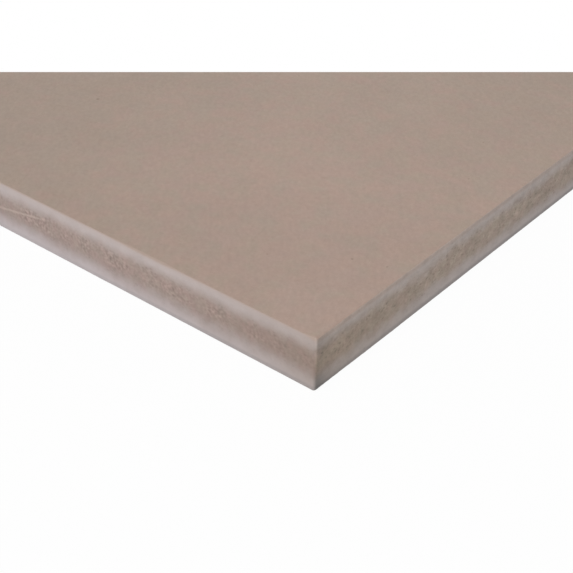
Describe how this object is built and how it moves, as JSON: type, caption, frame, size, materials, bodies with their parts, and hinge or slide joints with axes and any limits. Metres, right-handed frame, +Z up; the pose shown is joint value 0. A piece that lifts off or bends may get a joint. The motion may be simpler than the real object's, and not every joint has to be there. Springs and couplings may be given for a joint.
{
  "type": "natural fibre composite panel",
  "caption": "Flat rectangular sheet of hot-pressed natural fibre board with sanded faces and square sawn edges, for furniture, lining and fit-out work.",
  "frame": {"origin": "middle of the lower face, on the floor that the sheet lies on", "axes": "+X along the length, +Y along the width, +Z up through the thickness"},
  "size_m": [1.22, 0.61, 0.019],
  "materials": {
    "fibreboard": "sanded, matt"
  },
  "bodies": {
    "root": {"fibre_panel": "fibreboard"}
  },
  "joints": []
}
